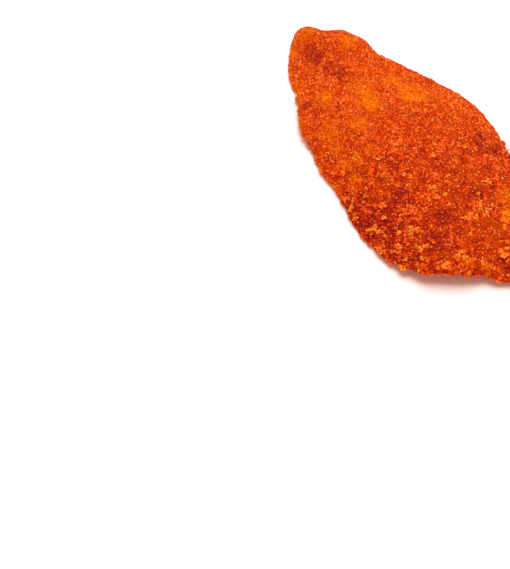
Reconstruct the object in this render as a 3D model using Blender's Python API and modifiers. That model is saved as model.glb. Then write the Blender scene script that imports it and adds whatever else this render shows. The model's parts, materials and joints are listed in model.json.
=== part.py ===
"""A dried mango slice with a chilli and sugar crust.

One thin slab of fruit lies along X. Its tip, at -X, is narrow and knobbly, and its far end is wide
and round. The middle is arched clear of the surface and the sides turn down to it. The slice rests
on a few low spots of its underside, at Z = 0, with the middle of its outline over the origin.
The largest clumps of the crust are fused to it.
"""

import math
import random

import bmesh
import bpy
import numpy as np
from mathutils import Euler, Matrix, Vector, geometry, noise

MM = 0.001

# Driving dimensions
LENGTH = 86.5 * MM
WIDTH = 45.5 * MM
THICKNESS = 3.1 * MM
RIM_THICKNESS = 2.0 * MM
RIM_TAPER = 8.0 * MM
ARCH_RISE = 3.9 * MM
ARCH_REACH = 17.0 * MM
MESH_SIZE = 1.4 * MM
SETTLE = 0.3 * MM

# The outline from the tip round the far side, in per cent of half the length and half the width
OUTLINE = [
    (-97, 5), (-102, 22), (-100, 34), (-93, 44), (-88, 57), (-81, 65), (-71, 69), (-60, 67),
    (-51, 72), (-35, 84), (-20, 93), (-1, 100), (17, 97), (30, 90), (44, 80), (58, 69),
    (70, 56), (81, 40), (91, 23), (98, 5), (100, -9), (96, -25), (88, -41), (84, -57),
    (74, -75), (63, -88), (49, -98), (35, -100), (18, -98), (3, -89), (-11, -82), (-21, -80),
    (-33, -71), (-47, -64), (-58, -50), (-68, -35), (-77, -29), (-86, -17),
]
OUTLINE_STEPS = 8
RIM_ROUNDING = 0.45 * THICKNESS
RIM_ROUNDING_STEPS = 3
MERGE_DISTANCE = 0.01 * MM

# Lifts of the whole slab: place, height and reach, in millimetres
LIFTS = [
    (31, -15, 3.4, 12),
    (24, 18, 1.3, 11),
    (-23, -12, 1.6, 9),
    (-25, 15, 1.2, 7),
]

# Swellings and hollows of the upper face: place, height and reach, in millimetres
SWELLINGS = [
    (-40, 4.7, 2.9, 3.2),
    (-34, 9, 1.3, 3.0),
    (-29, 11.5, 1.7, 4.0),
    (-34, 2, -1.0, 2.3),
    (-29, 2.5, -0.7, 2.8),
    (-24, 2, -0.4, 3.0),
    (-31, -6.5, -0.4, 2.5),
    (-14, 3, 0.6, 8.0),
    (13, 17, -0.6, 4.5),
    (12, -17, -0.5, 4.5),
    (26, 3, 0.5, 8.0),
]

# Uneven crust and fruit: height and wavelength, in millimetres
WAVES = [(0.45, 15.0), (0.26, 6.0), (0.18, 3.1)]
UNDERSIDE_WAVES = [(0.35, 13.0), (0.14, 3.6)]

# The fused clumps: balls of the crust, widened, flattened and tilted a little
CLUMP_COUNT = 84
CLUMP_RADIUS = (0.6 * MM, 1.0 * MM)
CLUMP_STRETCH = (0.8, 1.25)
CLUMP_FLATNESS = 0.75
CLUMP_TILT = 0.5
CLUMP_SINK = 0.25
CLUMP_SPACING = 3.0 * MM
CLUMP_SIDES = 6
CLUMP_RINGS = 4
SEED = 7

# How likely a clump is at a place, on the fine side, on the coarse side and underneath
CLUMP_FLOOR_GAP = 1.0 * MM
COARSE_SIDE = Vector((0.55, -0.83))
COARSE_BEGINS = -0.5
FINE_SIDE_CHANCE = 0.15
UNDERSIDE_CHANCE = 0.12
UNDERSIDE_NORMAL = -0.3

FRUIT_COLOUR = (0.62, 0.10, 0.008, 1.0)
FRUIT_ROUGHNESS = 0.6


def clear_scene():
    for obj in list(bpy.data.objects):
        bpy.data.objects.remove(obj)


def new_collection(name):
    collection = bpy.data.collections.new(name)
    bpy.context.scene.collection.children.link(collection)
    return collection


def fruit_material():
    material = bpy.data.materials.new("chilli_dusted_fruit")
    material.use_nodes = True
    shader = material.node_tree.nodes["Principled BSDF"]
    shader.inputs["Base Color"].default_value = FRUIT_COLOUR
    shader.inputs["Roughness"].default_value = FRUIT_ROUGHNESS
    shader.inputs["Metallic"].default_value = 0.0
    return material


def outline_curve(collection):
    """The slice's outline as a closed flat curve with a rounded edge, as thick as the slab."""
    curve = bpy.data.curves.new("slice_outline", "CURVE")
    curve.dimensions = "2D"
    curve.fill_mode = "BOTH"
    curve.resolution_u = OUTLINE_STEPS
    curve.extrude = THICKNESS / 2 - RIM_ROUNDING
    curve.bevel_depth = RIM_ROUNDING
    curve.bevel_resolution = RIM_ROUNDING_STEPS
    curve.offset = -RIM_ROUNDING
    spline = curve.splines.new("BEZIER")
    spline.bezier_points.add(len(OUTLINE) - 1)
    for point, (x, y) in zip(spline.bezier_points, OUTLINE):
        point.co = (x / 100 * LENGTH / 2, y / 100 * WIDTH / 2, 0)
        point.handle_left_type = "AUTO"
        point.handle_right_type = "AUTO"
    spline.use_cyclic_u = True
    obj = bpy.data.objects.new("slice_outline", curve)
    collection.objects.link(obj)
    bpy.context.view_layer.update()
    return obj


def outline_points(curve_object):
    """Points along the smooth outline, as an array of X and Y."""
    points = curve_object.data.splines[0].bezier_points
    path = []
    for i, start in enumerate(points):
        end = points[(i + 1) % len(points)]
        arc = geometry.interpolate_bezier(
            start.co, start.handle_right, end.handle_left, end.co, OUTLINE_STEPS + 1)
        path += [p.to_2d() for p in arc[:-1]]
    return np.array(path)


def distance_inside(path, places):
    """How far each place is from the outline."""
    start = path[None, :, :]
    along = np.roll(path, -1, axis=0)[None, :, :] - start
    offset = places[:, None, :] - start
    share = np.clip((offset * along).sum(2) / (along ** 2).sum(2), 0, 1)
    return np.linalg.norm(offset - share[:, :, None] * along, axis=2).min(axis=1)


def flat_slab(curve_object, collection):
    """The outline as one closed slab with an even mesh."""
    evaluated = curve_object.evaluated_get(bpy.context.evaluated_depsgraph_get())
    mesh = bpy.data.meshes.new_from_object(evaluated)
    bm = bmesh.new()
    bm.from_mesh(mesh)
    bmesh.ops.remove_doubles(bm, verts=bm.verts, dist=MERGE_DISTANCE)
    bm.to_mesh(mesh)
    bm.free()
    slab = bpy.data.objects.new("mango_slice", mesh)
    slab.matrix_world = curve_object.matrix_world
    collection.objects.link(slab)
    remesh = slab.modifiers.new("even_mesh", "REMESH")
    remesh.mode = "VOXEL"
    remesh.voxel_size = MESH_SIZE
    apply_modifiers(slab)
    return slab


def apply_modifiers(obj):
    evaluated = obj.evaluated_get(bpy.context.evaluated_depsgraph_get())
    mesh = bpy.data.meshes.new_from_object(evaluated)
    obj.modifiers.clear()
    obj.data = mesh


def bump(x, y, features):
    """The sum of round bumps, each (x, y, height, reach) in millimetres, at a place in metres."""
    total = 0.0
    for centre_x, centre_y, height, reach in features:
        away = math.hypot(x - centre_x * MM, y - centre_y * MM) / (reach * MM)
        total += height * MM * math.exp(-away ** 2)
    return total


def waves(x, y, side, sizes):
    total = 0.0
    for height, wavelength in sizes:
        total += height * MM * noise.noise(Vector((x, y, side)) / (wavelength * MM))
    return total


def middle_height(x, y, inside):
    """The height of the slab's mid surface: an arch from the turned-down rim, with lifts."""
    climb = min(inside / ARCH_REACH, 1.0)
    return ARCH_RISE * (1 - (1 - climb) ** 2) + bump(x, y, LIFTS)


def half_thickness(inside):
    share = min(inside / RIM_TAPER, 1.0)
    smooth = share * share * (3 - 2 * share)
    return (RIM_THICKNESS + (THICKNESS - RIM_THICKNESS) * smooth) / 2


def shape_slab(slab, path):
    """Bends and thins the flat slab, adds its relief, and sets it down on flat spots at Z = 0."""
    places = np.array([v.co.to_2d() for v in slab.data.vertices])
    inside = distance_inside(path, places)
    for vertex, depth in zip(slab.data.vertices, inside):
        x, y, z = vertex.co
        level = z / (THICKNESS / 2)
        height = middle_height(x, y, depth) + level * half_thickness(depth)
        upper_share = (1 + level) / 2
        height += upper_share * (bump(x, y, SWELLINGS) + waves(x, y, LENGTH, WAVES))
        height += (1 - upper_share) * waves(x, y, 0, UNDERSIDE_WAVES)
        vertex.co.z = height
    lowest = min(v.co.z for v in slab.data.vertices)
    for vertex in slab.data.vertices:
        vertex.co.z = max(vertex.co.z - lowest - SETTLE, 0.0)


def add_clump(collection, centre, radius, draw):
    """One lump of sugar crust: a small uneven ball, a little flattened."""
    mesh = bpy.data.meshes.new("clump")
    bm = bmesh.new()
    bmesh.ops.create_uvsphere(bm, u_segments=CLUMP_SIDES, v_segments=CLUMP_RINGS, radius=radius)
    sizes = (draw.uniform(*CLUMP_STRETCH), draw.uniform(*CLUMP_STRETCH), CLUMP_FLATNESS, 1)
    tilts = [draw.uniform(-CLUMP_TILT, CLUMP_TILT), draw.uniform(-CLUMP_TILT, CLUMP_TILT)]
    turn = Euler(tilts + [draw.uniform(0, math.tau)])
    bm.transform(Matrix.Translation(centre) @ turn.to_matrix().to_4x4() @ Matrix.Diagonal(sizes))
    bm.to_mesh(mesh)
    bm.free()
    collection.objects.link(bpy.data.objects.new("clump", mesh))


def clump_weight(vertex, reach):
    """How likely a clump is here: most on the coarse side, and none near the surface below."""
    if vertex.co.z < CLUMP_FLOOR_GAP:
        return 0.0
    if vertex.normal.z < UNDERSIDE_NORMAL:
        return UNDERSIDE_CHANCE
    lean = vertex.co.to_2d().dot(COARSE_SIDE.normalized()) / reach
    return FINE_SIDE_CHANCE + max(0.0, lean - COARSE_BEGINS) ** 2


def fuse_clumps(slab, helpers):
    """Joins the crust's largest clumps to the slab with one Boolean union."""
    draw = random.Random(SEED)
    vertices = list(slab.data.vertices)
    weights = [clump_weight(v, LENGTH / 2) for v in vertices]
    taken = []
    while len(taken) < CLUMP_COUNT:
        vertex = draw.choices(vertices, weights)[0]
        if any((vertex.co - other).length < CLUMP_SPACING for other in taken):
            continue
        taken.append(vertex.co.copy())
        radius = draw.uniform(*CLUMP_RADIUS)
        add_clump(helpers, vertex.co - vertex.normal * CLUMP_SINK * radius, radius, draw)
    union = slab.modifiers.new("clumps", "BOOLEAN")
    union.operation = "UNION"
    union.operand_type = "COLLECTION"
    union.collection = helpers
    union.solver = "EXACT"
    bpy.context.view_layer.update()
    apply_modifiers(slab)
    for obj in list(helpers.objects):
        bpy.data.objects.remove(obj)


def centre_on_origin(slab):
    """Moves the mesh so that the middle of its outline stands over the origin."""
    low = Vector([min(v.co[i] for v in slab.data.vertices) for i in range(3)])
    high = Vector([max(v.co[i] for v in slab.data.vertices) for i in range(3)])
    slab.data.transform(Matrix.Translation((-(low.x + high.x) / 2, -(low.y + high.y) / 2, -low.z)))


def main():
    clear_scene()
    slice_parts = new_collection("Dried mango slice")
    helpers = new_collection("Crust clumps")
    outline = outline_curve(slice_parts)
    path = outline_points(outline)
    slab = flat_slab(outline, slice_parts)
    bpy.data.objects.remove(outline)
    shape_slab(slab, path)
    fuse_clumps(slab, helpers)
    centre_on_origin(slab)
    slab.data.materials.clear()
    slab.data.materials.append(fruit_material())
    slab.data.shade_smooth()


main()
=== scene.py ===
"""A dried mango slice under a crust of chilli and sugar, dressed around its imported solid.

The fruit is a fine copy of the solid with the crust's relief. Tens of thousands of small solids
lie on it: fine crumbs, sugar crystals, knots and clumps of stuck crystals, clear crystals and
flakes of chilli. Lengths are in metres, except that the patches, spots, noises and fades at the
top are in millimetres.
"""

import json
import math
import random

import bpy
import numpy as np
from bpy.props import FloatProperty, FloatVectorProperty, PointerProperty
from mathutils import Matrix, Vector, noise

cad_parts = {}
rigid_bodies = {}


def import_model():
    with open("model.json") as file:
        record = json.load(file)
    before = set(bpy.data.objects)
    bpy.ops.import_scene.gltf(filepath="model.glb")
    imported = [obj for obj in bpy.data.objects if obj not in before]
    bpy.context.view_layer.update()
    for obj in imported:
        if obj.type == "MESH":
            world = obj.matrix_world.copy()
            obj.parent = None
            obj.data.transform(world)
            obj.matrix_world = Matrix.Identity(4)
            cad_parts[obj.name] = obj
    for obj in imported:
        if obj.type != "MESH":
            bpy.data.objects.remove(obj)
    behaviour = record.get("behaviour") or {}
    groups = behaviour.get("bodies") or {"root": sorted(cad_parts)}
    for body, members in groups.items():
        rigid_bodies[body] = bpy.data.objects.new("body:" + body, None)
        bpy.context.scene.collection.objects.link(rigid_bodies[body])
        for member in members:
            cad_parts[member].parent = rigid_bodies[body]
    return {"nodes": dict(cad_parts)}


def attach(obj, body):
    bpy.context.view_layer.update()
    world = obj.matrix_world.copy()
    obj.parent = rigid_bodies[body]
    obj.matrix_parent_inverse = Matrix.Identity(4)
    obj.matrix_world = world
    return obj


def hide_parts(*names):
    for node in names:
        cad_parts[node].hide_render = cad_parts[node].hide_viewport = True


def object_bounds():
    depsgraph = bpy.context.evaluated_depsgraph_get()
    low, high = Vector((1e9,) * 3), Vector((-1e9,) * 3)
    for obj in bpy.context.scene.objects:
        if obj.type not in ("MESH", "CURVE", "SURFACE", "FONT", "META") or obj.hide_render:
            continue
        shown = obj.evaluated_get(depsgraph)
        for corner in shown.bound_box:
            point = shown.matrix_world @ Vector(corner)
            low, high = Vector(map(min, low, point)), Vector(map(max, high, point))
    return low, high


bl_info = {
    "name": "Dried mango slice",
    "version": (1, 0, 0),
    "blender": (4, 5, 0),
    "location": "View3D > Sidebar > Mango",
    "description": "Dresses a dried mango slice with its chilli and sugar crust",
    "category": "Object",
}

MM = 0.001

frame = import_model()
CAD_BOX = [list(corner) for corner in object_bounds()]
SLICE_BODY = "root"

# No grain reaches higher than this above the resting surface
CRUST_TOP = CAD_BOX[1][2] + 0.2 * MM

# Patches where the fruit shows through a thin crust: X, Y and reach
BARE_PATCHES = [
    (-40.0, 5.0, 3.2), (-31.0, 10.0, 3.5), (-17.0, 2.5, 4.0), (-12.5, 1.0, 4.0), (-9.0, 11.5, 4.5),
    (-15.5, 11.5, 3.5), (-14.0, -10.5, 4.0), (-5.0, -14.0, 2.4), (-3.0, -7.0, 1.8),
    (-10.5, -4.5, 2.8), (-9.5, -12.5, 2.2), (-0.5, -14.5, 2.2), (-4.0, -10.5, 2.0),
    (-38.5, -1.0, 2.2), (-30.5, -6.5, 3.4), (-22.0, -5.0, 3.0), (26.0, 8.0, 3.4),
    (30.0, 4.5, 2.6), (34.0, -11.0, 1.7), (36.5, -8.0, 1.8), (39.0, -6.0, 1.4),
]

# Patches where a smooth film of sugar holds few crystals: X, Y and reach
FILM_PATCHES = [
    (17.5, -1.5, 3.0), (31.0, -1.5, 4.0), (21.0, -7.5, 3.5), (29.5, -6.0, 3.0), (34.5, -8.0, 2.4),
    (36.0, -5.5, 2.4), (20.5, 0.0, 3.0), (13.5, 4.0, 2.5), (6.5, -2.0, 2.4),
]

# Patches thick with chilli: X, Y and reach
CHILLI_PATCHES = [
    (-33.0, 1.5, 3.8), (-28.5, 2.0, 2.8), (-25.0, 2.0, 2.4), (-23.5, -9.5, 1.8),
    (5.0, -19.0, 3.6), (9.0, -19.0, 4.4), (14.0, -18.5, 4.8), (19.0, -21.0, 3.6),
    (25.0, -13.0, 3.6), (22.0, -7.5, 3.2), (24.0, -20.0, 3.4), (11.5, 16.0, 3.6),
    (15.5, 17.5, 2.8), (4.0, -6.0, 1.6), (11.0, -11.0, 3.4), (22.5, 3.5, 1.8), (38.5, -4.5, 1.8),
]

# The largest golden clumps: X, Y and size across
GOLDEN_SPOTS = [
    (37.0, -3.0, 1.7), (34.5, -7.5, 1.4), (34.5, -13.0, 1.5), (31.0, -12.0, 1.7),
    (31.0, -15.0, 1.6), (30.5, -16.0, 1.4), (27.0, -19.5, 1.3), (24.0, -21.0, 1.9),
    (24.0, -16.5, 1.6), (19.5, -19.0, 1.7), (19.0, -14.5, 1.6), (16.5, -22.0, 1.4),
    (12.0, -20.0, 1.4), (4.5, -20.0, 1.3), (26.5, 1.0, 1.6), (25.0, -3.5, 1.7),
    (14.0, -3.0, 1.5), (8.5, -5.5, 1.4), (20.5, 7.5, 1.3), (-3.5, 22.0, 1.4), (-22.0, 16.0, 1.3),
]
# This many smaller clumps sit beside each of them, with sizes and distances in shares of its size
BESIDE_COUNT = 2
BESIDE_SHARE = (0.55, 0.8)
BESIDE_AWAY = (0.6, 0.9)
# Height at which spots just off the outline are stuck to the rim
RIM_LEVEL = 2.0 * MM

# The way from the fine, even crust to the coarse one, and the way that the left rim faces
COARSE_WAY = Vector((0.766, -0.643, 0.0))
LEFT_WAY = (-0.62, -0.78, 0.0)

# What stands above this height is pressed down to this share, to leave room for the crust
PRESS_ABOVE = 6.4 * MM
PRESS_SHARE = 0.62
# The crust thickens the far rim by this much
RIM_GROWTH = 0.45 * MM
# Of the wide end, this share is left past this line, which is measured along the coarse way
RIM_LINE = 33.4 * MM
RIM_LINE_SHARE = 0.4

# Fades, each from where it starts to where it is full. These run along the coarse way: where
# the crust turns coarse, where it turns deep in colour, and where it turns lighter again
COARSE_FADE = (-12, 14)
DEEP_FADE = (-16, 20)
LIGHTER_FADE = (20, 32)
# These run along X
GROWTH_STARTS = (-23.5, -20)
LEFT_RIM_STOPS = (-2, 6)
WIDE_END_STARTS = (27, 32)
WIDE_END_STOPS = (37, 41)
# These run up from the floor. Where the surface looks up, grains start lower by the tilt
GRAINS_START = (0.25, 0.55)
FLOOR_TILT = 0.6
CLUMPS_STOP = (6.8, 7.2)
# These go by the way that the surface faces: 1 is squarely a rim's way, or squarely down for
# the underside, and 0 is sideways to it
FAR_RIM_GROWS = (0.1, 0.6)
FAR_RIM_THINS = (0.4, 0.8)
# The next fade sets where painted shade darkens the far rim with the chilli colour
FAR_RIM_SHADE_FADE = (0.5, 0.85)
# The next fade sets where painted light lightens the left rim with the bare fruit's colour
LEFT_RIM_LIGHT_FADE = (0.35, 0.85)
UNDERSIDE_FADE = (-0.2, 0.5)
# No place is bare whose normal points further down than this
BARE_DOWN_TO = -0.4

# Noise that breaks up the edges of patches: its wavelength, and its seed
WIDE_RAGS = (3.2, 0.0)
FINE_RAGS = (1.1, 40.0)
DRIFT_RAGS = (4.0, 9.0)
# Its falloff, the step in wavelength from one layer to the next, and how many layers it has
RAG_LAYERS = (1.0, 2.0, 3)
# How far the wide noise shifts the start of the coarse and of the deep crust
COARSE_SHIFT = 5.0
DEEP_SHIFT = 4.0
# How much the wide and the fine noise break up each kind of patch, and its fade after that
BARE_EDGE = {"wide_share": 0.32, "fine_share": 0.2, "fade": (0.25, 1.05)}
CHILLI_EDGE = {"wide_share": 0.35, "fine_share": 0.6, "fade": (0.2, 1.05)}
FILM_EDGE = {"wide_share": 0.0, "fine_share": 0.3, "fade": (0.2, 0.7)}

# How much lighter the crust gets again towards the near rim; how strongly painted light
# lightens the left rim, which faces away from the key lamp, with the bare fruit's colour; and
# how strongly painted shade darkens the far rim with the chilli colour, which the fine noise
# leaves out here and there
LIGHTER_SHARE = 0.25
LEFT_RIM_PAINTED_LIGHT = 0.75
FAR_RIM_PAINTED_SHADE = 0.65
FAR_RIM_SHADE_GAPS = (-0.8, 0.0)
# How strong drifts of smooth film are on the coarse side, and where their noise turns to film
DRIFT_STRENGTH = 0.8
DRIFT_FADE = (0.05, 0.4)

# Where the relief neither raises nor sinks the surface
RELIEF_LEVEL = 0.55
# The lumps' strength is set in this many steps. It is least on the fine side, and the film and
# the far rim take away a share of it
ROUGH_STEPS = 10
ROUGH_LEAST = 0.42
ROUGH_FILM_LOSS = 0.6
ROUGH_RIM_LOSS = 0.5
# The relief counts as 0 below the first of these percentiles, and as 1 above the second
RELIEF_ENDS = (5, 95)

# The share of grains that is left out where the fruit is marked in these ways
COAT_LOSSES = {"bare": 0.3, "underside": 0.65}
AMBER_LOSSES = {"chilli": 0.6, "film": 0.85, "bare": 0.3, "far_rim": 0.7}
CLUMP_LOSSES = {"bare": 0.5, "underside": 0.7, "film": 0.9, "far_rim": 0.9}
# The share of crystals and knots that is left out between the lumps of the coarse side, and
# the share of clumps that is left on the fine side
HOLLOW_LOSS = 0.8
CLUMP_LEAST = 0.1
# How far the relief has to rise for knots and for clumps to sit on it
KNOT_RISE = (0.2, 0.6)
CLUMP_RISE = (0.4, 0.75)

# Points tried on each square of the spacing, of which those that stand too close are dropped
CROWDING = 2.5
# The size of grains on the fine side, as a share of their size on the coarse side
FINE_SHARE = 0.76

# How far light spreads inside fruit and sugar, as shares for red, green and blue
FRUIT_SPREAD = (1.0, 0.15, 0.05)
SUGAR_SPREAD = (1.0, 0.22, 0.06)
# Below these heights of the relief, painted shade starts to darken the fruit and the grains
FRUIT_HOLLOW_SHADE = 0.85
GRAIN_HOLLOW_SHADE = 0.7
# The shares of a grain's colour that come from its own tone and from clouds across it, and how
# strongly specks of dust cover it
TONE_SHARE = 0.75
CLOUD_SHARE = 0.25
DUST_SHARE = 0.5

# The setting that colours each tint of the grains
TINT_COLOURS = {
    "mottle": "deep_colour",
    "depth": "deep_colour",
    "film": "film_colour",
    # The bare tint is bare fruit, and painted light on the left rim
    "bare": "fruit_colour",
    # The chilli tint is real chilli, and painted shade on the far rim
    "chilli": "chilli_colour",
    # The last tint is painted shade where the relief sinks
    "hollow": "deep_colour",
}


class MangoSliceSettings(bpy.types.PropertyGroup):
    """Sizes and colours of the slice's surface."""

    fruit_mesh: FloatProperty(
        name="Fruit mesh size", description="Edge length of the fruit's fine mesh",
        default=0.278 * MM, min=0.0, unit="LENGTH")
    crust_lumps: FloatProperty(
        name="Crust lumps", description="Height of the crust's lumps",
        default=0.74 * MM, unit="LENGTH")
    crust_grit: FloatProperty(
        name="Crust grit", description="Height of the crust's fine grit",
        default=0.26 * MM, unit="LENGTH")
    grain_size: FloatProperty(
        name="Grain size", description="Usual length of a sugar grain",
        default=0.45 * MM, unit="LENGTH")
    fruit_colour: FloatVectorProperty(
        name="Fruit colour", description="Bare dried fruit", subtype="COLOR",
        size=4, default=(0.88, 0.200, 0.000, 1.0), min=0.0, max=1.0)
    crust_colour: FloatVectorProperty(
        name="Crust colour", description="Thin film of sugar dusted with chilli", subtype="COLOR",
        size=4, default=(0.80, 0.077, 0.000, 1.0), min=0.0, max=1.0)
    film_colour: FloatVectorProperty(
        name="Film colour", description="Smooth film of melted sugar", subtype="COLOR",
        size=4, default=(0.58, 0.069, 0.000, 1.0), min=0.0, max=1.0)
    deep_colour: FloatVectorProperty(
        name="Deep colour", description="Thick film of sugar and chilli", subtype="COLOR",
        size=4, default=(0.46, 0.022, 0.001, 1.0), min=0.0, max=1.0)
    chilli_colour: FloatVectorProperty(
        name="Chilli colour", description="Damp ground chilli", subtype="COLOR",
        size=4, default=(0.28, 0.001, 0.011, 1.0), min=0.0, max=1.0)
    floor_colour: FloatVectorProperty(
        name="Floor colour", description="Pale studio floor", subtype="COLOR",
        size=4, default=(0.92, 0.92, 0.92, 1.0), min=0.0, max=1.0)


def settings():
    return bpy.context.scene.mango_slice


def deselect_all():
    """Leaves edit mode and clears the selection, so that the next operator acts on nothing else."""
    if bpy.context.object and bpy.context.object.mode != "OBJECT":
        bpy.ops.object.mode_set(mode="OBJECT")
    bpy.ops.object.select_all(action="DESELECT")


def make_active(obj):
    deselect_all()
    obj.select_set(True)
    bpy.context.view_layer.objects.active = obj


def apply_all(obj):
    """Applies an object's modifiers in their order."""
    make_active(obj)
    for modifier in list(obj.modifiers):
        bpy.ops.object.modifier_apply(modifier=modifier.name)


def finish_piece(obj, material):
    """Trims a piece to the floor and the crust's top, and ties it to the slice."""
    places, _ = mesh_arrays(obj.data)
    places[:, 2] = np.clip(places[:, 2], 0.0, CRUST_TOP)
    obj.data.vertices.foreach_set("co", places.ravel())
    obj.data.update()
    obj.data.materials.clear()
    obj.data.materials.append(material)
    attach(obj, SLICE_BODY)


# Materials

def new_material(name, roughness, specular):
    material = bpy.data.materials.new(name)
    material.use_nodes = True
    shader = material.node_tree.nodes["Principled BSDF"]
    shader.inputs["Roughness"].default_value = roughness
    shader.inputs["Specular IOR Level"].default_value = specular
    return material, shader


def glow_through(shader, weight, depth, spread):
    """Light that soaks through sugar and fruit: far in red, hardly in blue."""
    shader.subsurface_method = "RANDOM_WALK"
    shader.inputs["Subsurface Weight"].default_value = weight
    shader.inputs["Subsurface Radius"].default_value = spread
    shader.inputs["Subsurface Scale"].default_value = depth


def noise_node(tree, wavelength, detail, contrast):
    """A noise on Object coordinates, whose part between two values is stretched to 0 to 1."""
    nodes = tree.nodes
    place = nodes.new("ShaderNodeTexCoord")
    texture = nodes.new("ShaderNodeTexNoise")
    texture.inputs["Scale"].default_value = 1.0 / wavelength
    texture.inputs["Detail"].default_value = detail
    spread = nodes.new("ShaderNodeMapRange")
    spread.inputs["From Min"].default_value = contrast[0]
    spread.inputs["From Max"].default_value = contrast[1]
    tree.links.new(place.outputs["Object"], texture.inputs["Vector"])
    tree.links.new(texture.outputs["Fac"], spread.inputs["Value"])
    return spread.outputs["Result"]


def attribute_node(tree, name):
    node = tree.nodes.new("ShaderNodeAttribute")
    node.attribute_name = name
    return node.outputs["Fac"]


def connect(tree, sockets, values):
    """Links each socket to a value that is a socket, and otherwise sets it."""
    for socket, value in zip(sockets, values):
        if isinstance(value, bpy.types.NodeSocket):
            tree.links.new(value, socket)
        else:
            socket.default_value = value


def maths(tree, operation, first, second):
    """A sum, difference or product, kept between 0 and 1."""
    node = tree.nodes.new("ShaderNodeMath")
    node.operation = operation
    node.use_clamp = True
    connect(tree, node.inputs, (first, second))
    return node.outputs["Value"]


def mix_colours(tree, factor, first, second):
    """The first colour where the factor is 0, and the second where it is 1."""
    node = tree.nodes.new("ShaderNodeMix")
    node.data_type = "RGBA"
    # The sockets for colours follow those for numbers and vectors
    connect(tree, (node.inputs[0], node.inputs[6], node.inputs[7]), (factor, first, second))
    return node.outputs[2]


def tone_ramp(tree, factor, stops):
    """The colour of a tone, from a list of stops with a position and a colour each."""
    node = tree.nodes.new("ShaderNodeValToRGB")
    ramp = node.color_ramp
    for position, colour in stops[1:-1]:
        ramp.elements.new(position).color = colour
    ramp.elements[0].position, ramp.elements[0].color = stops[0]
    ramp.elements[-1].position, ramp.elements[-1].color = stops[-1]
    tree.links.new(factor, node.inputs["Fac"])
    return node.outputs["Color"]


def add_bump(tree, shader, height, distance):
    """A fine roughness that is too small for the mesh."""
    bump = tree.nodes.new("ShaderNodeBump")
    bump.inputs["Distance"].default_value = distance
    tree.links.new(height, bump.inputs["Height"])
    tree.links.new(bump.outputs["Normal"], shader.inputs["Normal"])


def fruit_material():
    """Translucent orange fruit stained by sugar and chilli, with painted shade low in the relief."""
    values = settings()
    material, shader = new_material("dusted_fruit", roughness=0.6, specular=0.015)
    tree = material.node_tree
    glow_through(shader, weight=0.7, depth=2.5 * MM, spread=FRUIT_SPREAD)
    blotches = noise_node(tree, 1.6 * MM, detail=3.0, contrast=(0.25, 0.55))
    stains = noise_node(tree, 0.9 * MM, detail=3.0, contrast=(0.35, 0.62))
    grit = noise_node(tree, 0.30 * MM, detail=3.0, contrast=(0.2, 0.8))
    bare = attribute_node(tree, "bare")
    covered = maths(tree, "SUBTRACT", 1.0, bare)
    crust = mix_colours(tree, attribute_node(tree, "depth"), values.crust_colour, values.deep_colour)
    # Where the fruit is bare its own colour shows; on the left rim that is painted light
    coating = maths(tree, "SUBTRACT", blotches, bare)
    base = mix_colours(tree, coating, values.fruit_colour, crust)
    base = mix_colours(tree, attribute_node(tree, "film"), base, values.film_colour)
    # Painted shade: where the relief sinks below a level, the chilli colour darkens covered fruit
    hollow = maths(tree, "SUBTRACT", FRUIT_HOLLOW_SHADE, attribute_node(tree, "rise"))
    base = mix_colours(tree, maths(tree, "MULTIPLY", hollow, covered), base, values.chilli_colour)
    # The chilli mark is real chilli, and painted shade on the far rim
    stain = maths(tree, "MULTIPLY", stains, attribute_node(tree, "chilli"))
    base = mix_colours(tree, stain, base, values.chilli_colour)
    tree.links.new(base, shader.inputs["Base Color"])
    add_bump(tree, shader, grit, 0.12 * MM)
    return material


def tint_field(tree, tint):
    """Where a tint lies: in a mottle, as painted shade low in the relief, or as marked on the fruit.
    """
    if tint == "mottle":
        return noise_node(tree, 2.6 * MM, detail=4.0, contrast=(0.46, 0.62))
    if tint == "hollow":
        return maths(tree, "SUBTRACT", GRAIN_HOLLOW_SHADE, attribute_node(tree, "rise"))
    return attribute_node(tree, tint)


def grain_material(name, stops, shares, roughness, specular, soak):
    """Sugar grains: a tone for each grain, with shares of the film's tints and of painted light and
    shade.
    """
    values = settings()
    material, shader = new_material(name, roughness, specular)
    tree = material.node_tree
    glow_through(shader, weight=0.5, depth=soak, spread=SUGAR_SPREAD)
    clouds = noise_node(tree, 0.45 * MM, detail=1.0, contrast=(0.35, 0.65))
    specks = noise_node(tree, 0.16 * MM, detail=1.0, contrast=(0.50, 0.75))
    facets = noise_node(tree, 0.12 * MM, detail=1.0, contrast=(0.2, 0.8))
    uneven = maths(tree, "MULTIPLY", clouds, CLOUD_SHARE)
    tone = maths(tree, "MULTIPLY", attribute_node(tree, "tone"), TONE_SHARE)
    tone = maths(tree, "ADD", maths(tree, "ADD", tone, uneven), attribute_node(tree, "shade"))
    base = tone_ramp(tree, tone, stops)
    # Some tints are painted: shade low in the relief, shade on the far rim, light on the left rim
    for tint, share in shares.items():
        amount = maths(tree, "MULTIPLY", tint_field(tree, tint), share)
        base = mix_colours(tree, amount, base, getattr(values, TINT_COLOURS[tint]))
    dust = maths(tree, "MULTIPLY", specks, DUST_SHARE)
    base = mix_colours(tree, dust, base, values.crust_colour)
    tree.links.new(base, shader.inputs["Base Color"])
    add_bump(tree, shader, facets, 0.03 * MM)
    return material


# The fruit

def ragged(places, wavelength, seed):
    """Uneven values from about -1 to 1 over the surface, that break up the patches' edges."""
    start = Vector((seed, 0, 0))
    return np.array([
        noise.fractal(Vector(place) / wavelength + start, *RAG_LAYERS) for place in places])


def smooth_step(values, low, high):
    """A soft step from 0 at the low value to 1 at the high one."""
    share = np.clip((values - low) / (high - low), 0, 1)
    return share * share * (3 - 2 * share)


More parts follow.
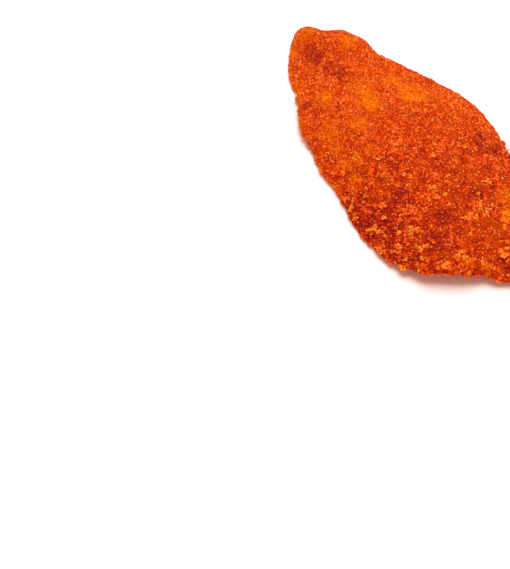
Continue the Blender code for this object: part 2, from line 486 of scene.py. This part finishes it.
def ragged_patches(places, patches, wide, fine, wide_share, fine_share, fade):
    """Round patches with soft edges that two noises break up: 0 outside, 1 inside."""
    total = np.zeros(len(places))
    for x, y, reach in patches:
        away = np.hypot(places[:, 0] - x, places[:, 1] - y) / reach
        total = np.maximum(total, np.exp(-away ** 2))
    return smooth_step(total + wide_share * wide + fine_share * fine, *fade)


def take_away(values, fields, losses):
    """What is left of the values after each field takes its share."""
    for name, loss in losses.items():
        values = values * (1 - loss * fields[name])
    return values


def on_far_rim(normals, fade):
    """The far rim, 0 to 1: where the surface faces away from the coarse side."""
    return smooth_step(-(normals @ np.array(COARSE_WAY)), *fade)


def left_rim_light(places, normals):
    """Where painted light lightens the left rim, 0 to 1, up to the slice's middle."""
    rim = smooth_step(normals @ np.array(LEFT_WAY), *LEFT_RIM_LIGHT_FADE)
    return rim * (1 - smooth_step(places[:, 0], *LEFT_RIM_STOPS))


def mesh_arrays(mesh):
    """The places and normals of a mesh's vertices."""
    places = np.zeros(len(mesh.vertices) * 3, np.float32)
    normals = np.zeros(len(mesh.vertices) * 3, np.float32)
    mesh.vertices.foreach_get("co", places)
    mesh.vertices.foreach_get("normal", normals)
    return places.reshape(-1, 3), normals.reshape(-1, 3)


def store(mesh, name, values):
    """Writes a value on each vertex, as an attribute."""
    attribute = mesh.attributes.new(name, "FLOAT", "POINT")
    attribute.data.foreach_set("value", values.astype(np.float32))


def recall(mesh, name):
    """Reads back an attribute that was stored."""
    values = np.zeros(len(mesh.vertices), np.float32)
    mesh.attributes[name].data.foreach_get("value", values)
    return values


def make_room(obj):
    """Presses the arch's top down, draws in the wide end's near rim and grows the far rim."""
    places, normals = mesh_arrays(obj.data)
    way = np.array(COARSE_WAY)
    over = np.maximum(places[:, 2] - PRESS_ABOVE, 0)
    places[:, 2] -= (1 - PRESS_SHARE) * over
    along = places[:, 0] / MM
    wide_end = smooth_step(along, *WIDE_END_STARTS) * (1 - smooth_step(along, *WIDE_END_STOPS))
    beyond = np.maximum(places @ way - RIM_LINE, 0) * wide_end
    places -= (1 - RIM_LINE_SHARE) * beyond[:, None] * way
    growth = RIM_GROWTH * on_far_rim(normals, FAR_RIM_GROWS) * smooth_step(along, *GROWTH_STARTS)
    flat = normals * (1, 1, 0)
    flat /= np.maximum(np.linalg.norm(flat, axis=1), 0.01)[:, None]
    places += flat * growth[:, None]
    obj.data.vertices.foreach_set("co", places.ravel())
    obj.data.update()


def mark_patches(obj):
    """Writes on the fruit where its crust is bare, thick with chilli, coarse, deep or filmed.

    It also chooses how strong the relief is: strongest on the coarse side, outside the film.
    The bare mark also holds painted light on the left rim, and the chilli mark painted shade on
    the far rim.
    """
    places, normals = mesh_arrays(obj.data)
    places = places / MM
    wide = ragged(places, *WIDE_RAGS)
    fine = ragged(places, *FINE_RAGS)
    lean = places @ np.array(COARSE_WAY)
    far_rim = on_far_rim(normals, FAR_RIM_SHADE_FADE)

    coarse = smooth_step(lean + COARSE_SHIFT * wide, *COARSE_FADE)
    depth = smooth_step(lean + DEEP_SHIFT * wide, *DEEP_FADE)
    depth -= LIGHTER_SHARE * smooth_step(lean, *LIGHTER_FADE)

    bare = ragged_patches(places, BARE_PATCHES, wide, fine, **BARE_EDGE)
    # Painted light: the left rim, which faces away from the key lamp, takes the bare fruit's colour
    bare = np.maximum(bare, LEFT_RIM_PAINTED_LIGHT * left_rim_light(places, normals))
    bare *= normals[:, 2] > BARE_DOWN_TO

    chilli = ragged_patches(places, CHILLI_PATCHES, wide, fine, **CHILLI_EDGE)
    # Painted shade: the far rim, found by the way it faces, takes the chilli colour, with gaps
    chilli = np.maximum(chilli, FAR_RIM_PAINTED_SHADE * far_rim * smooth_step(fine, *FAR_RIM_SHADE_GAPS))

    film = ragged_patches(places, FILM_PATCHES, wide, fine, **FILM_EDGE)
    drifts = smooth_step(ragged(places, *DRIFT_RAGS), *DRIFT_FADE)
    film = np.maximum(film, DRIFT_STRENGTH * drifts) * coarse * (1 - bare)

    fields = {"bare": bare, "chilli": chilli, "coarse": coarse, "depth": depth, "film": film}
    for name, values in fields.items():
        store(obj.data, name, values)

    rough = ROUGH_LEAST + (1 - ROUGH_LEAST) * coarse * (1 - ROUGH_FILM_LOSS * film)
    rough *= 1 - ROUGH_RIM_LOSS * far_rim
    group = obj.vertex_groups.new(name="rough")
    for step in range(1, ROUGH_STEPS + 1):
        chosen = np.nonzero(np.round(rough * ROUGH_STEPS) == step)[0]
        group.add(chosen.tolist(), step / ROUGH_STEPS, "REPLACE")


def add_relief(obj, name, wavelength, depth, height, group=""):
    """Raises and sinks the surface by a cloud pattern."""
    texture = bpy.data.textures.new(name, "CLOUDS")
    texture.noise_scale = wavelength
    texture.noise_depth = depth
    modifier = obj.modifiers.new(name, "DISPLACE")
    modifier.texture = texture
    modifier.texture_coords = "LOCAL"
    modifier.strength = height
    modifier.mid_level = RELIEF_LEVEL
    modifier.vertex_group = group


def mark_grains(obj, before, facing):
    """Writes how far the relief raised each place, and how closely grains lie there.

    "coat" is for crumbs, flakes and clear sugar. "amber" is for crystals and knots, and "clumps"
    for the golden clumps. On the coarse side these mostly sit on the relief's lumps.
    """
    places, _ = mesh_arrays(obj.data)
    up = facing[:, 2]
    height = places[:, 2] / MM
    raised = ((places - before) * facing).sum(1)
    low, high = np.percentile(raised, RELIEF_ENDS)
    rise = np.clip((raised - low) / (high - low), 0, 1)
    fields = {name: recall(obj.data, name) for name in ("bare", "chilli", "coarse", "film")}
    fields["underside"] = smooth_step(-up, *UNDERSIDE_FADE)
    fields["far_rim"] = on_far_rim(facing, FAR_RIM_THINS)
    coarse = fields["coarse"]
    clear_of_floor = smooth_step(height + FLOOR_TILT * up, *GRAINS_START)
    below_top = 1 - smooth_step(height, *CLUMPS_STOP)

    coat = take_away(clear_of_floor, fields, COAT_LOSSES)

    on_lumps = 1 - HOLLOW_LOSS * coarse * (1 - smooth_step(rise, *KNOT_RISE))
    amber = take_away(coat * on_lumps, fields, AMBER_LOSSES)

    on_lumps = (CLUMP_LEAST + (1 - CLUMP_LEAST) * coarse) * smooth_step(rise, *CLUMP_RISE)
    clumps = take_away(on_lumps * clear_of_floor * below_top, fields, CLUMP_LOSSES)

    for name, values in (("rise", rise), ("coat", coat), ("amber", amber), ("clumps", clumps)):
        store(obj.data, name, values)


class MANGO_OT_fruit(bpy.types.Operator):
    """Make the fruit: a fine copy of the solid with the crust's lumps and grit."""

    bl_idname = "mango.fruit"
    bl_label = "Fruit"

    def execute(self, context):
        values = settings()
        node = frame["nodes"]["mango_slice"]
        fruit = bpy.data.objects.new("mango_fruit", node.data.copy())
        context.scene.collection.objects.link(fruit)
        make_active(fruit)
        bpy.ops.object.mode_set(mode="EDIT")
        bpy.ops.mesh.select_all(action="SELECT")
        bpy.ops.mesh.remove_doubles(threshold=0.001 * MM)
        bpy.ops.object.mode_set(mode="OBJECT")
        remesh = fruit.modifiers.new("fine_mesh", "REMESH")
        remesh.mode = "VOXEL"
        remesh.voxel_size = values.fruit_mesh
        soften = fruit.modifiers.new("soften", "SMOOTH")
        soften.factor = 0.5
        soften.iterations = 8
        apply_all(fruit)
        make_room(fruit)
        mark_patches(fruit)
        before, facing = mesh_arrays(fruit.data)
        add_relief(
            fruit, "crust_lumps", wavelength=1.4 * MM, depth=2, height=values.crust_lumps,
            group="rough")
        add_relief(
            fruit, "crust_grit", wavelength=0.55 * MM, depth=1, height=values.crust_grit)
        apply_all(fruit)
        mark_grains(fruit, before, facing)
        fruit.vertex_groups.clear()
        bpy.ops.object.shade_smooth()
        finish_piece(fruit, fruit_material())
        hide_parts("mango_slice")
        return {"FINISHED"}


# Grain shapes, each about 1 across

def squeeze(draw, least):
    """Narrows and flattens what is selected to random shares, the least one or more."""
    bpy.ops.transform.resize(value=(1.0, draw.uniform(least, 0.95), draw.uniform(least, 0.85)))


def sugar_crumb(name, draw):
    """A crumb of sugar: a broken three-sided chip."""
    deselect_all()
    bpy.ops.mesh.primitive_cylinder_add(vertices=3, radius=0.52, depth=0.62)
    crumb = bpy.context.object
    crumb.name = name
    bpy.ops.object.mode_set(mode="EDIT")
    squeeze(draw, 0.8)
    bpy.ops.transform.vertex_random(offset=0.14, seed=draw.randrange(1000))
    bpy.ops.object.mode_set(mode="OBJECT")
    return crumb


def sugar_crystal(name, draw):
    """A sugar crystal: a squarish block with two corners cut off."""
    deselect_all()
    bpy.ops.mesh.primitive_cube_add(size=1.0)
    crystal = bpy.context.object
    crystal.name = name
    bpy.ops.object.mode_set(mode="EDIT")
    squeeze(draw, 0.6)
    for _ in range(2):
        corner = Vector([draw.choice((-1, 1)) * draw.uniform(0.6, 1.0) for _ in range(3)])
        corner.normalize()
        bpy.ops.mesh.select_all(action="SELECT")
        bpy.ops.mesh.bisect(
            plane_co=corner * draw.uniform(0.38, 0.5), plane_no=corner, use_fill=True,
            clear_outer=True)
    bpy.ops.transform.vertex_random(offset=0.05, seed=draw.randrange(1000))
    bpy.ops.object.mode_set(mode="OBJECT")
    return crystal


def stuck_crystals(name, draw, count, share):
    """Several crystals stuck together at odd angles, each a share of the whole in size."""
    blocks = []
    for i in range(count):
        block = sugar_crystal(f"{name}_{i}", draw)
        store(block.data, "shade", np.full(len(block.data.vertices), draw.uniform(-0.25, 0.3)))
        size = draw.uniform(*share)
        turn = (i + draw.uniform(0, 0.7)) * math.tau / count
        away = draw.uniform(0.08, 0.55)
        block.scale = (size, size, size)
        block.rotation_euler = [draw.uniform(0, math.tau) for _ in range(3)]
        block.location = (away * math.cos(turn), away * math.sin(turn), draw.uniform(-0.1, 0.14))
        blocks.append(block)
    deselect_all()
    for block in blocks:
        block.select_set(True)
    bpy.context.view_layer.objects.active = blocks[0]
    bpy.ops.object.transform_apply(location=True, rotation=True, scale=True)
    bpy.ops.object.join()
    blocks[0].name = name
    return blocks[0]


def crystal_knot(name, draw):
    """A small knot of large crystals."""
    return stuck_crystals(name, draw, count=3, share=(0.4, 0.7))


def crust_clump(name, draw):
    """A clump of many small crystals."""
    return stuck_crystals(name, draw, count=draw.choice((7, 8, 9)), share=(0.2, 0.45))


def chilli_flake(name, draw):
    """A flake of chilli: a thin bent chip with five or six sides."""
    deselect_all()
    bpy.ops.mesh.primitive_cylinder_add(vertices=draw.choice((5, 6)), radius=0.5, depth=0.16)
    flake = bpy.context.object
    flake.name = name
    bpy.ops.object.mode_set(mode="EDIT")
    bpy.ops.transform.resize(value=(1.0, draw.uniform(0.5, 0.8), 1.0))
    bpy.ops.transform.vertex_random(offset=0.09, seed=draw.randrange(1000))
    bpy.ops.object.mode_set(mode="OBJECT")
    return flake


def grain_shapes(name, count, build):
    """A collection of differently shaped grains, kept apart until they are scattered."""
    collection = bpy.data.collections.new(name)
    bpy.context.scene.collection.children.link(collection)
    draw = random.Random(name)
    for i in range(count):
        grain = build(f"{name}_{i}", draw)
        for old in list(grain.users_collection):
            old.objects.unlink(grain)
        collection.objects.link(grain)
    return collection


def remove_collection(collection):
    for obj in list(collection.objects):
        bpy.data.objects.remove(obj)
    bpy.data.collections.remove(collection)


# Scattering

def random_node(tree, low, high, seed):
    """A random value for each grain, a number or a vector as the limits are."""
    node = tree.nodes.new("FunctionNodeRandomValue")
    vector = not isinstance(low, float)
    node.data_type = "FLOAT_VECTOR" if vector else "FLOAT"
    # The two limits for vectors come before the two for numbers
    first = 0 if vector else 2
    node.inputs[first].default_value = low
    node.inputs[first + 1].default_value = high
    node.inputs["Seed"].default_value = seed
    return node.outputs[0 if vector else 1]


def field_node(tree, name):
    node = tree.nodes.new("GeometryNodeInputNamedAttribute")
    node.inputs["Name"].default_value = name
    return node.outputs["Attribute"]


def scatter_points(tree, field, spacing, seed):
    """Points on the fruit at least a spacing apart, with most of them where the field is 1."""
    surface = tree.nodes.new("GeometryNodeObjectInfo")
    surface.inputs["Object"].default_value = bpy.data.objects["mango_fruit"]
    points = tree.nodes.new("GeometryNodeDistributePointsOnFaces")
    points.distribute_method = "POISSON"
    points.inputs["Distance Min"].default_value = spacing
    points.inputs["Density Max"].default_value = CROWDING / spacing ** 2
    points.inputs["Seed"].default_value = seed
    tree.links.new(surface.outputs["Geometry"], points.inputs["Mesh"])
    tree.links.new(field_node(tree, field), points.inputs["Density Factor"])
    return points


def scatter_sizes(tree, size, seed):
    """Random sizes between two limits, smaller on the fine side."""
    growth = tree.nodes.new("ShaderNodeMapRange")
    growth.inputs["To Min"].default_value = FINE_SHARE
    tree.links.new(field_node(tree, "coarse"), growth.inputs["Value"])
    scale = tree.nodes.new("ShaderNodeMath")
    scale.operation = "MULTIPLY"
    connect(tree, scale.inputs, (random_node(tree, *size, seed), growth.outputs["Result"]))
    return scale.outputs["Value"]


def scatter_turns(tree, points, tilt, seed):
    """Random turns about the surface's normal, tilted off it by up to a tilt."""
    turn = tree.nodes.new("FunctionNodeRotateRotation")
    turn.rotation_space = "LOCAL"
    spin = random_node(tree, (-tilt, -tilt, -math.pi), (tilt, tilt, math.pi), seed)
    connect(tree, (turn.inputs["Rotation"], turn.inputs["Rotate By"]),
            (points.outputs["Rotation"], spin))
    return turn.outputs["Rotation"]


def scatter_tree(name, shapes, field, spacing, size, tilt, seed):
    """Nodes that lay grains on the fruit, give each one a tone, and make them real mesh."""
    tree = bpy.data.node_groups.new(name, "GeometryNodeTree")
    tree.interface.new_socket("Geometry", in_out="INPUT", socket_type="NodeSocketGeometry")
    tree.interface.new_socket("Geometry", in_out="OUTPUT", socket_type="NodeSocketGeometry")
    points = scatter_points(tree, field, spacing, seed)
    grains = tree.nodes.new("GeometryNodeCollectionInfo")
    grains.inputs["Collection"].default_value = shapes
    grains.inputs["Separate Children"].default_value = True
    grains.inputs["Reset Children"].default_value = True
    place = tree.nodes.new("GeometryNodeInstanceOnPoints")
    place.inputs["Pick Instance"].default_value = True
    tone = tree.nodes.new("GeometryNodeStoreNamedAttribute")
    tone.data_type = "FLOAT"
    tone.domain = "INSTANCE"
    tone.inputs["Name"].default_value = "tone"
    real = tree.nodes.new("GeometryNodeRealizeInstances")
    output = tree.nodes.new("NodeGroupOutput")
    links = (
        (points.outputs["Points"], place.inputs["Points"]),
        (grains.outputs["Instances"], place.inputs["Instance"]),
        (scatter_sizes(tree, size, seed + 1), place.inputs["Scale"]),
        (scatter_turns(tree, points, tilt, seed + 2), place.inputs["Rotation"]),
        (place.outputs["Instances"], tone.inputs["Geometry"]),
        (random_node(tree, 0.0, 1.0, seed + 3), tone.inputs["Value"]),
        (tone.outputs["Geometry"], real.inputs["Geometry"]),
        (real.outputs["Geometry"], output.inputs["Geometry"]),
    )
    for start, end in links:
        tree.links.new(start, end)
    return tree


def with_beside(spots, draw):
    """The spots, each followed by smaller ones close beside it."""
    places = []
    for x, y, across in spots:
        places.append((x, y, across))
        for _ in range(BESIDE_COUNT):
            turn = draw.uniform(0, math.tau)
            away = across * draw.uniform(*BESIDE_AWAY)
            share = draw.uniform(*BESIDE_SHARE)
            places.append((x + away * math.cos(turn), y + away * math.sin(turn), across * share))
    return places


def place_on_fruit(piece, shapes, spots):
    """Adds shapes to the piece at and beside each spot: its X, Y and size across, in millimetres."""
    fruit = bpy.data.objects["mango_fruit"]
    draw = random.Random(piece.name)
    copies = []
    for x, y, across in with_beside(spots, draw):
        above = Vector((x * MM, y * MM, 2 * CRUST_TOP))
        hit, place, normal, _ = fruit.ray_cast(above, Vector((0, 0, -1)))
        if not hit:
            _, place, normal, _ = fruit.closest_point_on_mesh(Vector((x * MM, y * MM, RIM_LEVEL)))
        shape = draw.choice(list(shapes.objects))
        grain = bpy.data.objects.new(shape.name, shape.data.copy())
        bpy.context.scene.collection.objects.link(grain)
        store(grain.data, "tone", np.ones(len(grain.data.vertices)))
        grain.location = place
        grain.rotation_euler = normal.to_track_quat("Z", "Y").to_euler()
        grain.scale = (across * MM, across * MM, across * MM)
        copies.append(grain)
    make_active(piece)
    for grain in copies:
        grain.select_set(True)
    bpy.ops.object.transform_apply(location=True, rotation=True, scale=True)
    bpy.ops.object.join()


def scatter(name, shapes, material, field, spacing, size, tilt, seed, spots=()):
    """One piece of loose grains laid over the fruit, with more of them at given spots."""
    piece = bpy.data.objects.new(name, bpy.data.meshes.new(name))
    bpy.context.scene.collection.objects.link(piece)
    modifier = piece.modifiers.new("scatter", "NODES")
    modifier.node_group = scatter_tree(name, shapes, field, spacing, size, tilt, seed)
    apply_all(piece)
    if spots:
        place_on_fruit(piece, shapes, spots)
    remove_collection(shapes)
    finish_piece(piece, material)


# How far grains may tilt off the surface, in radians
ANY_WAY = math.pi
NEARLY_FLAT = 0.35

# The colours of each kind of grain, from its darkest tone to its lightest
CRUMB_STOPS = [
    (0.1, (0.09, 0.000, 0.001, 1.0)),
    (0.3, (0.36, 0.008, 0.000, 1.0)),
    (0.5, (0.74, 0.060, 0.000, 1.0)),
    (0.7, (0.94, 0.150, 0.000, 1.0)),
    (0.9, (1.00, 0.370, 0.070, 1.0)),
]
CRYSTAL_STOPS = [
    (0.15, (0.52, 0.024, 0.001, 1.0)),
    (0.4, (0.80, 0.080, 0.000, 1.0)),
    (0.65, (0.95, 0.172, 0.006, 1.0)),
    (0.9, (1.00, 0.350, 0.100, 1.0)),
]
GOLDEN_STOPS = [
    (0.15, (0.80, 0.080, 0.000, 1.0)),
    (0.5, (0.97, 0.175, 0.003, 1.0)),
    (0.85, (1.00, 0.370, 0.030, 1.0)),
]
CLEAR_STOPS = [
    (0.1, (0.90, 0.160, 0.015, 1.0)),
    (0.5, (0.96, 0.280, 0.050, 1.0)),
    (0.9, (1.00, 0.500, 0.160, 1.0)),
]
FLAKE_STOPS = [
    (0.0, (0.24, 0.006, 0.002, 1.0)),
    (0.6, (0.44, 0.014, 0.002, 1.0)),
    (1.0, (0.60, 0.032, 0.003, 1.0)),
]


class MANGO_OT_sugar_crumbs(bpy.types.Operator):
    """Lay the fine red-orange crumbs of chilli-dusted sugar over the fruit."""

    bl_idname = "mango.sugar_crumbs"
    bl_label = "Sugar crumbs"

    def execute(self, context):
        size = settings().grain_size
        shares = {
            "mottle": 0.6, "depth": 0.65, "film": 0.7, "bare": 0.3, "chilli": 0.9, "hollow": 0.8}
        scatter(
            "sugar_crumbs", grain_shapes("crumb", 6, sugar_crumb),
            grain_material(
                "sugar_crumbs", CRUMB_STOPS, shares, roughness=0.5, specular=0.02, soak=0.1 * MM),
            field="coat", spacing=0.30 * MM, size=(0.75 * size, 1.15 * size), tilt=ANY_WAY,
            seed=11)
        return {"FINISHED"}


class MANGO_OT_sugar_crystals(bpy.types.Operator):
    """Lay the orange sugar crystals over the fruit."""

    bl_idname = "mango.sugar_crystals"
    bl_label = "Sugar crystals"

    def execute(self, context):
        size = settings().grain_size
        shares = {
            "mottle": 0.4, "depth": 0.4, "film": 0.3, "bare": 0.3, "chilli": 0.6, "hollow": 0.6}
        scatter(
            "sugar_crystals", grain_shapes("crystal", 6, sugar_crystal),
            grain_material(
                "sugar_crystals", CRYSTAL_STOPS, shares, roughness=0.35, specular=0.06,
                soak=0.15 * MM),
            field="amber", spacing=0.42 * MM, size=(0.7 * size, 1.4 * size), tilt=ANY_WAY,
            seed=23)
        return {"FINISHED"}


class MANGO_OT_crystal_knots(bpy.types.Operator):
    """Lay knots of three crystals, which stand out as lighter spots."""

    bl_idname = "mango.crystal_knots"
    bl_label = "Crystal knots"

    def execute(self, context):
        size = settings().grain_size
        shares = {"mottle": 0.3, "depth": 0.2, "bare": 0.2, "chilli": 0.3, "hollow": 0.3}
        scatter(
            "crystal_knots", grain_shapes("knot", 6, crystal_knot),
            grain_material(
                "crystal_knots", CRYSTAL_STOPS, shares, roughness=0.35, specular=0.06,
                soak=0.15 * MM),
            field="amber", spacing=0.76 * MM, size=(1.0 * size, 2.2 * size), tilt=NEARLY_FLAT,
            seed=31)
        return {"FINISHED"}


class MANGO_OT_golden_clumps(bpy.types.Operator):
    """Lay golden clumps of stuck crystals, most of them on the coarse side."""

    bl_idname = "mango.golden_clumps"
    bl_label = "Golden clumps"

    def execute(self, context):
        size = settings().grain_size
        shares = {"mottle": 0.1, "hollow": 0.2}
        scatter(
            "golden_clumps", grain_shapes("clump", 6, crust_clump),
            grain_material(
                "golden_sugar", GOLDEN_STOPS, shares, roughness=0.35, specular=0.1,
                soak=0.2 * MM),
            field="clumps", spacing=1.05 * MM, size=(1.4 * size, 3.0 * size), tilt=NEARLY_FLAT,
            seed=53, spots=GOLDEN_SPOTS)
        return {"FINISHED"}


class MANGO_OT_clear_sugar(bpy.types.Operator):
    """Lay small clear sugar crystals that catch the light."""

    bl_idname = "mango.clear_sugar"
    bl_label = "Clear sugar"

    def execute(self, context):
        size = settings().grain_size
        shares = {"chilli": 0.3, "hollow": 0.4}
        scatter(
            "clear_sugar", grain_shapes("clear", 5, sugar_crystal),
            grain_material(
                "clear_sugar", CLEAR_STOPS, shares, roughness=0.2, specular=0.25,
                soak=0.15 * MM),
            field="coat", spacing=0.85 * MM, size=(0.5 * size, 1.0 * size), tilt=ANY_WAY,
            seed=37)
        return {"FINISHED"}


class MANGO_OT_chilli_flakes(bpy.types.Operator):
    """Lay dark flakes of chilli among the grains."""

    bl_idname = "mango.chilli_flakes"
    bl_label = "Chilli flakes"

    def execute(self, context):
        size = settings().grain_size
        shares = {"bare": 0.3, "chilli": 0.3}
        scatter(
            "chilli_flakes", grain_shapes("flake", 5, chilli_flake),
            grain_material(
                "chilli_flakes", FLAKE_STOPS, shares, roughness=0.6, specular=0.05,
                soak=0.1 * MM),
            field="coat", spacing=1.4 * MM, size=(0.8 * size, 1.5 * size), tilt=NEARLY_FLAT,
            seed=71)
        return {"FINISHED"}


# Stage

FLOOR_SIZE = 6.0
# The light from all around, and the red-orange fill that lifts the shaded side
SKY_COLOUR = (1.0, 0.94, 0.78, 1.0)
SKY_STRENGTH = 0.4
WARM_COLOUR = (1.0, 0.12, 0.03)
# The camera looks at its aim from this turn, rise and distance
CAMERA_TURN = math.radians(50)
CAMERA_RISE = math.radians(60)
CAMERA_LENS = 100.0
CAMERA_AWAY = 355.6 * MM
CAMERA_AIM = Vector((4.66 * MM, -48.83 * MM, 0.0))


def direction_back(turn, rise):
    """The unit vector from the aim towards a viewer or lamp at a turn and a rise."""
    return Vector((
        math.sin(turn) * math.cos(rise), -math.cos(turn) * math.cos(rise), math.sin(rise)))


def add_camera():
    deselect_all()
    back = direction_back(CAMERA_TURN, CAMERA_RISE)
    bpy.ops.object.camera_add(
        location=CAMERA_AIM + back * CAMERA_AWAY,
        rotation=(-back).to_track_quat("-Z", "Y").to_euler())
    camera = bpy.context.object
    camera.name = "photo_camera"
    camera.data.lens = CAMERA_LENS
    camera.data.clip_start = 0.01
    camera.data.clip_end = 20.0
    bpy.context.scene.camera = camera


def add_softbox(name, turn, rise, away, size, watts, colour=(1.0, 1.0, 1.0)):
    """A square soft lamp that looks at the slice."""
    deselect_all()
    back = direction_back(math.radians(turn), math.radians(rise))
    bpy.ops.object.light_add(
        type="AREA", location=back * away, rotation=(-back).to_track_quat("-Z", "Y").to_euler())
    lamp = bpy.context.object
    lamp.name = name
    lamp.data.shape = "SQUARE"
    lamp.data.size = size
    lamp.data.energy = watts
    lamp.data.color = colour


def add_floor():
    deselect_all()
    bpy.ops.mesh.primitive_grid_add(x_subdivisions=8, y_subdivisions=8, size=FLOOR_SIZE)
    floor = bpy.context.object
    floor.name = "floor"
    material, shader = new_material("pale_floor", roughness=0.9, specular=0.1)
    shader.inputs["Base Color"].default_value = settings().floor_colour
    floor.data.materials.append(material)


def set_world(colour, strength):
    world = bpy.data.worlds.new("studio")
    world.use_nodes = True
    back = world.node_tree.nodes["Background"]
    back.inputs["Color"].default_value = colour
    back.inputs["Strength"].default_value = strength
    bpy.context.scene.world = world


class MANGO_OT_stage(bpy.types.Operator):
    """Set the pale floor, the soft lamps and the camera."""

    bl_idname = "mango.stage"
    bl_label = "Stage"

    def execute(self, context):
        add_floor()
        set_world(SKY_COLOUR, SKY_STRENGTH)
        add_softbox("key_lamp", turn=218, rise=70, away=0.9, size=0.7, watts=9.7)
        add_softbox(
            "warm_fill", turn=45, rise=32, away=1.2, size=1.0, watts=6.5, colour=WARM_COLOUR)
        add_camera()
        context.scene.view_settings.view_transform = "Standard"
        return {"FINISHED"}


class MANGO_PT_panel(bpy.types.Panel):
    """Lists the slice's settings and pieces."""

    bl_idname = "MANGO_PT_panel"
    bl_label = "Dried mango slice"
    bl_space_type = "VIEW_3D"
    bl_region_type = "UI"
    bl_category = "Mango"

    def draw(self, context):
        for name in MangoSliceSettings.__annotations__:
            self.layout.prop(context.scene.mango_slice, name)
        for operator in OPERATORS:
            self.layout.operator(operator.bl_idname)


OPERATORS = (
    MANGO_OT_fruit,
    MANGO_OT_sugar_crumbs,
    MANGO_OT_sugar_crystals,
    MANGO_OT_crystal_knots,
    MANGO_OT_golden_clumps,
    MANGO_OT_clear_sugar,
    MANGO_OT_chilli_flakes,
    MANGO_OT_stage,
)
CLASSES = (MangoSliceSettings, *OPERATORS, MANGO_PT_panel)


def register():
    for cls in CLASSES:
        bpy.utils.register_class(cls)
    bpy.types.Scene.mango_slice = PointerProperty(type=MangoSliceSettings)


def unregister():
    del bpy.types.Scene.mango_slice
    for cls in reversed(CLASSES):
        bpy.utils.unregister_class(cls)


def main():
    register()
    bpy.ops.mango.fruit()
    bpy.ops.mango.sugar_crumbs()
    bpy.ops.mango.sugar_crystals()
    bpy.ops.mango.crystal_knots()
    bpy.ops.mango.golden_clumps()
    bpy.ops.mango.clear_sugar()
    bpy.ops.mango.chilli_flakes()
    bpy.ops.mango.stage()


if __name__ == "__main__":
    main()
